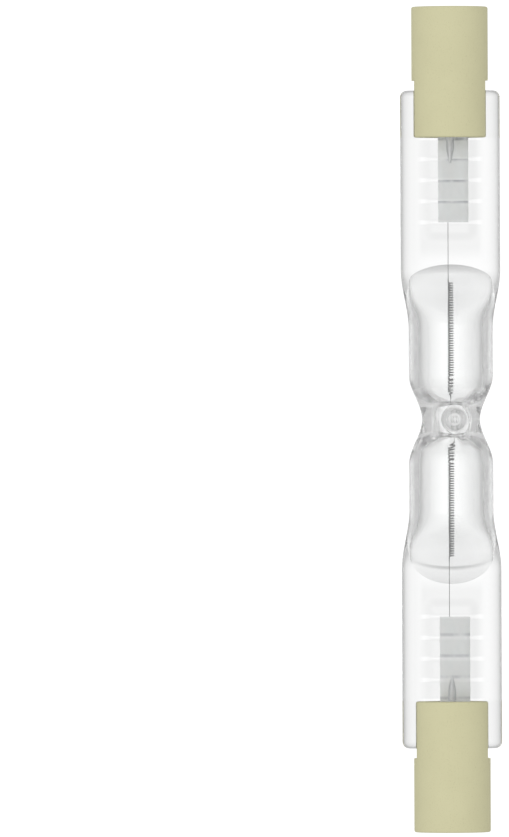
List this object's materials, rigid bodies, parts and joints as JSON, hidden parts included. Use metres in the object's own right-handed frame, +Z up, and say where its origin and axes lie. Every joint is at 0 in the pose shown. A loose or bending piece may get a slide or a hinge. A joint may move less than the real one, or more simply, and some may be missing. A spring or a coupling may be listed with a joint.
{
  "type": "linear halogen bulb",
  "caption": "Double-ended linear halogen bulb: waisted clear quartz tube with flat pinch seals, coiled filament, and round ceramic caps with recessed contacts.",
  "frame": {"origin": "on the surface the bulb lies on, under the middle of its length and width", "axes": "+X along the bulb towards the right cap, +Y across the pinch seals, +Z up through the exhaust tip"},
  "size_m": [0.0782, 0.0094, 0.0082],
  "materials": {
    "quartz": "clear, polished",
    "ceramic": "matt, pale cream",
    "cement": "matt, rough",
    "contact_nickel": "satin",
    "molybdenum": "satin grey",
    "tungsten": "dark satin"
  },
  "bodies": {
    "root": {"quartz_envelope": "quartz", "right_ceramic_cap": "ceramic", "left_ceramic_cap": "ceramic", "right_cap_cement": "cement", "left_cap_cement": "cement", "right_contact_button": "contact_nickel", "left_contact_button": "contact_nickel", "right_outer_lead": "molybdenum", "left_outer_lead": "molybdenum", "right_seal_foil": "molybdenum", "left_seal_foil": "molybdenum", "filament": "tungsten"}
  },
  "joints": []
}
